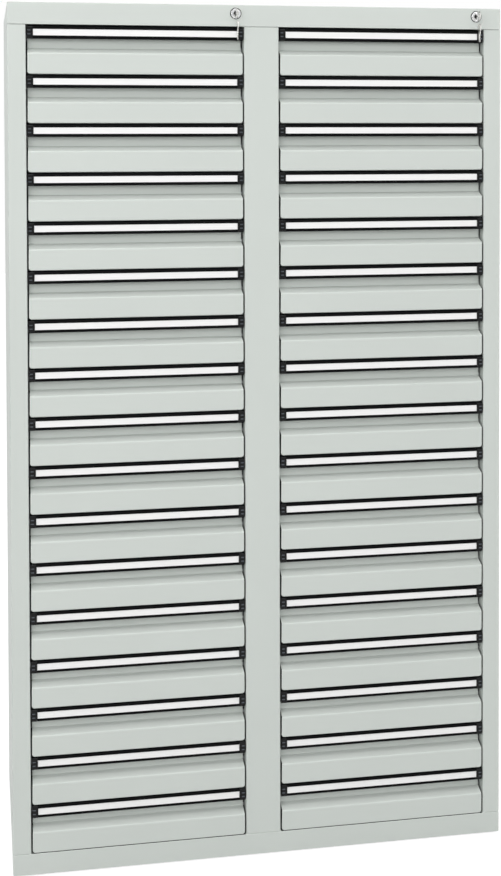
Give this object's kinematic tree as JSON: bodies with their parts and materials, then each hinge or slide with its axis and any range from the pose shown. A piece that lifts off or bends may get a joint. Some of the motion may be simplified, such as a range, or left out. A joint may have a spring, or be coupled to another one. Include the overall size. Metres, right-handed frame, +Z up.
{
  "type": "parts bin cabinet",
  "caption": "Tall sheet-steel storage cabinet with two columns of shallow sliding drawers, black label grips and one central lock for each column.",
  "frame": {"origin": "middle of the bounding box on the floor", "axes": "+Z up, drawer fronts face -Y, +X to the right as seen from the front"},
  "size_m": [1.05, 0.532, 1.8],
  "materials": {
    "case_paint": "light grey powder coat, fine texture, satin",
    "drawer_paint": "light grey powder coat; the grip is black plastic, the label white card",
    "runner_steel": "zinc plated",
    "lock_chrome": "bright plated",
    "key_nickel": "nickel plated",
    "rivet_aluminium": "plain",
    "foot_plastic": "matte"
  },
  "bodies": {
    "cabinet": {"top_cover": "case_paint", "base_tray": "case_paint", "left_side_panel": "case_paint", "right_side_panel": "case_paint", "back_panel": "case_paint", "centre_post": "case_paint", "centre_partition": "case_paint", "runner_carriers": "runner_steel", "drawer_stops": "runner_steel", "back_rivets": "rivet_aluminium", "feet": "foot_plastic", "bar_guides": "runner_steel", "left_runners": "runner_steel", "right_runners": "runner_steel", "left_lock_barrel": "lock_chrome", "right_lock_barrel": "lock_chrome"},
    "left_lock_and_key": {"left_lock_plug": "lock_chrome", "left_key": "key_nickel"},
    "left_ring": {"left_key_ring": "key_nickel"},
    "left_hanging_key": {"left_spare_key": "key_nickel"},
    "left_bar": {"left_locking_bar": "runner_steel"},
    "right_lock_and_key": {"right_lock_plug": "lock_chrome", "right_key": "key_nickel"},
    "right_ring": {"right_key_ring": "key_nickel"},
    "right_hanging_key": {"right_spare_key": "key_nickel"},
    "right_bar": {"right_locking_bar": "runner_steel"},
    "left_drawer_01": {"drawer_left_01": "drawer_paint"},
    "left_drawer_02": {"drawer_left_02": "drawer_paint"},
    "left_drawer_03": {"drawer_left_03": "drawer_paint"},
    "left_drawer_04": {"drawer_left_04": "drawer_paint"},
    "left_drawer_05": {"drawer_left_05": "drawer_paint"},
    "left_drawer_06": {"drawer_left_06": "drawer_paint"},
    "left_drawer_07": {"drawer_left_07": "drawer_paint"},
    "left_drawer_08": {"drawer_left_08": "drawer_paint"},
    "left_drawer_09": {"drawer_left_09": "drawer_paint"},
    "left_drawer_10": {"drawer_left_10": "drawer_paint"},
    "left_drawer_11": {"drawer_left_11": "drawer_paint"},
    "left_drawer_12": {"drawer_left_12": "drawer_paint"},
    "left_drawer_13": {"drawer_left_13": "drawer_paint"},
    "left_drawer_14": {"drawer_left_14": "drawer_paint"},
    "left_drawer_15": {"drawer_left_15": "drawer_paint"},
    "left_drawer_16": {"drawer_left_16": "drawer_paint"},
    "left_drawer_17": {"drawer_left_17": "drawer_paint"},
    "right_drawer_01": {"drawer_right_01": "drawer_paint"},
    "right_drawer_02": {"drawer_right_02": "drawer_paint"},
    "right_drawer_03": {"drawer_right_03": "drawer_paint"},
    "right_drawer_04": {"drawer_right_04": "drawer_paint"},
    "right_drawer_05": {"drawer_right_05": "drawer_paint"},
    "right_drawer_06": {"drawer_right_06": "drawer_paint"},
    "right_drawer_07": {"drawer_right_07": "drawer_paint"},
    "right_drawer_08": {"drawer_right_08": "drawer_paint"},
    "right_drawer_09": {"drawer_right_09": "drawer_paint"},
    "right_drawer_10": {"drawer_right_10": "drawer_paint"},
    "right_drawer_11": {"drawer_right_11": "drawer_paint"},
    "right_drawer_12": {"drawer_right_12": "drawer_paint"},
    "right_drawer_13": {"drawer_right_13": "drawer_paint"},
    "right_drawer_14": {"drawer_right_14": "drawer_paint"},
    "right_drawer_15": {"drawer_right_15": "drawer_paint"},
    "right_drawer_16": {"drawer_right_16": "drawer_paint"},
    "right_drawer_17": {"drawer_right_17": "drawer_paint"}
  },
  "joints": [
    {"name": "cam_lock_left_ring_swing", "type": "hinge", "parent": "left_lock_and_key", "child": "left_ring", "pos_m": [-0.0545, -0.2565, 1.7804], "axis": [-1, 0, 0], "range_deg": [0, 75]},
    {"name": "cam_lock_left_bar_slide", "type": "slide", "parent": "cabinet", "child": "left_bar", "axis": [0, 0, -1], "range_m": [0, 0.01697]},
    {"name": "cam_lock_right_ring_swing", "type": "hinge", "parent": "right_lock_and_key", "child": "right_ring", "pos_m": [0.4705, -0.2565, 1.7804], "axis": [-1, 0, 0], "range_deg": [0, 75]},
    {"name": "cam_lock_right_bar_slide", "type": "slide", "parent": "cabinet", "child": "right_bar", "axis": [0, 0, -1], "range_m": [0, 0.01697]},
    {"name": "drawer_left_01_slide", "type": "slide", "parent": "cabinet", "child": "left_drawer_01", "axis": [0, -1, 0], "range_m": [0, 0.365]},
    {"name": "drawer_left_02_slide", "type": "slide", "parent": "cabinet", "child": "left_drawer_02", "axis": [0, -1, 0], "range_m": [0, 0.365]},
    {"name": "drawer_left_03_slide", "type": "slide", "parent": "cabinet", "child": "left_drawer_03", "axis": [0, -1, 0], "range_m": [0, 0.365]},
    {"name": "drawer_left_04_slide", "type": "slide", "parent": "cabinet", "child": "left_drawer_04", "axis": [0, -1, 0], "range_m": [0, 0.365]},
    {"name": "drawer_left_05_slide", "type": "slide", "parent": "cabinet", "child": "left_drawer_05", "axis": [0, -1, 0], "range_m": [0, 0.365]},
    {"name": "drawer_left_06_slide", "type": "slide", "parent": "cabinet", "child": "left_drawer_06", "axis": [0, -1, 0], "range_m": [0, 0.365]},
    {"name": "drawer_left_07_slide", "type": "slide", "parent": "cabinet", "child": "left_drawer_07", "axis": [0, -1, 0], "range_m": [0, 0.365]},
    {"name": "drawer_left_08_slide", "type": "slide", "parent": "cabinet", "child": "left_drawer_08", "axis": [0, -1, 0], "range_m": [0, 0.365]},
    {"name": "drawer_left_09_slide", "type": "slide", "parent": "cabinet", "child": "left_drawer_09", "axis": [0, -1, 0], "range_m": [0, 0.365]},
    {"name": "drawer_left_10_slide", "type": "slide", "parent": "cabinet", "child": "left_drawer_10", "axis": [0, -1, 0], "range_m": [0, 0.365]},
    {"name": "drawer_left_11_slide", "type": "slide", "parent": "cabinet", "child": "left_drawer_11", "axis": [0, -1, 0], "range_m": [0, 0.365]},
    {"name": "drawer_left_12_slide", "type": "slide", "parent": "cabinet", "child": "left_drawer_12", "axis": [0, -1, 0], "range_m": [0, 0.365]},
    {"name": "drawer_left_13_slide", "type": "slide", "parent": "cabinet", "child": "left_drawer_13", "axis": [0, -1, 0], "range_m": [0, 0.365]},
    {"name": "drawer_left_14_slide", "type": "slide", "parent": "cabinet", "child": "left_drawer_14", "axis": [0, -1, 0], "range_m": [0, 0.365]},
    {"name": "drawer_left_15_slide", "type": "slide", "parent": "cabinet", "child": "left_drawer_15", "axis": [0, -1, 0], "range_m": [0, 0.365]},
    {"name": "drawer_left_16_slide", "type": "slide", "parent": "cabinet", "child": "left_drawer_16", "axis": [0, -1, 0], "range_m": [0, 0.365]},
    {"name": "drawer_left_17_slide", "type": "slide", "parent": "cabinet", "child": "left_drawer_17", "axis": [0, -1, 0], "range_m": [0, 0.365]},
    {"name": "drawer_right_01_slide", "type": "slide", "parent": "cabinet", "child": "right_drawer_01", "axis": [0, -1, 0], "range_m": [0, 0.365]},
    {"name": "drawer_right_02_slide", "type": "slide", "parent": "cabinet", "child": "right_drawer_02", "axis": [0, -1, 0], "range_m": [0, 0.365]},
    {"name": "drawer_right_03_slide", "type": "slide", "parent": "cabinet", "child": "right_drawer_03", "axis": [0, -1, 0], "range_m": [0, 0.365]},
    {"name": "drawer_right_04_slide", "type": "slide", "parent": "cabinet", "child": "right_drawer_04", "axis": [0, -1, 0], "range_m": [0, 0.365]},
    {"name": "drawer_right_05_slide", "type": "slide", "parent": "cabinet", "child": "right_drawer_05", "axis": [0, -1, 0], "range_m": [0, 0.365]},
    {"name": "drawer_right_06_slide", "type": "slide", "parent": "cabinet", "child": "right_drawer_06", "axis": [0, -1, 0], "range_m": [0, 0.365]},
    {"name": "drawer_right_07_slide", "type": "slide", "parent": "cabinet", "child": "right_drawer_07", "axis": [0, -1, 0], "range_m": [0, 0.365]},
    {"name": "drawer_right_08_slide", "type": "slide", "parent": "cabinet", "child": "right_drawer_08", "axis": [0, -1, 0], "range_m": [0, 0.365]},
    {"name": "drawer_right_09_slide", "type": "slide", "parent": "cabinet", "child": "right_drawer_09", "axis": [0, -1, 0], "range_m": [0, 0.365]},
    {"name": "drawer_right_10_slide", "type": "slide", "parent": "cabinet", "child": "right_drawer_10", "axis": [0, -1, 0], "range_m": [0, 0.365]},
    {"name": "drawer_right_11_slide", "type": "slide", "parent": "cabinet", "child": "right_drawer_11", "axis": [0, -1, 0], "range_m": [0, 0.365]},
    {"name": "drawer_right_12_slide", "type": "slide", "parent": "cabinet", "child": "right_drawer_12", "axis": [0, -1, 0], "range_m": [0, 0.365]},
    {"name": "drawer_right_13_slide", "type": "slide", "parent": "cabinet", "child": "right_drawer_13", "axis": [0, -1, 0], "range_m": [0, 0.365]},
    {"name": "drawer_right_14_slide", "type": "slide", "parent": "cabinet", "child": "right_drawer_14", "axis": [0, -1, 0], "range_m": [0, 0.365]},
    {"name": "drawer_right_15_slide", "type": "slide", "parent": "cabinet", "child": "right_drawer_15", "axis": [0, -1, 0], "range_m": [0, 0.365]},
    {"name": "drawer_right_16_slide", "type": "slide", "parent": "cabinet", "child": "right_drawer_16", "axis": [0, -1, 0], "range_m": [0, 0.365]},
    {"name": "drawer_right_17_slide", "type": "slide", "parent": "cabinet", "child": "right_drawer_17", "axis": [0, -1, 0], "range_m": [0, 0.365]},
    {"name": "key_and_cam_left_turn", "type": "hinge", "parent": "cabinet", "child": "left_lock_and_key", "pos_m": [-0.0545, -0.234, 1.782], "axis": [0, 1, 0], "range_deg": [0, 90.1]},
    {"name": "hanging_key_left_slip", "type": "hinge", "parent": "left_ring", "child": "left_hanging_key", "pos_m": [-0.0545, -0.2565, 1.7714], "axis": [0, 1, 0], "range_deg": [-90.5, 0]},
    {"name": "key_and_cam_right_turn", "type": "hinge", "parent": "cabinet", "child": "right_lock_and_key", "pos_m": [0.4705, -0.234, 1.782], "axis": [0, 1, 0], "range_deg": [0, 90.1]},
    {"name": "hanging_key_right_slip", "type": "hinge", "parent": "right_ring", "child": "right_hanging_key", "pos_m": [0.4705, -0.2565, 1.7714], "axis": [0, 1, 0], "range_deg": [-90.5, 0]}
  ],
  "couplings": [
    {"joint": "key_and_cam_left_turn", "follows": "cam_lock_left_bar_slide", "rad_per_m": 92.56},
    {"joint": "hanging_key_left_slip", "follows": "cam_lock_left_bar_slide", "rad_per_m": -92.56},
    {"joint": "key_and_cam_right_turn", "follows": "cam_lock_right_bar_slide", "rad_per_m": 92.56},
    {"joint": "hanging_key_right_slip", "follows": "cam_lock_right_bar_slide", "rad_per_m": -92.56}
  ]
}
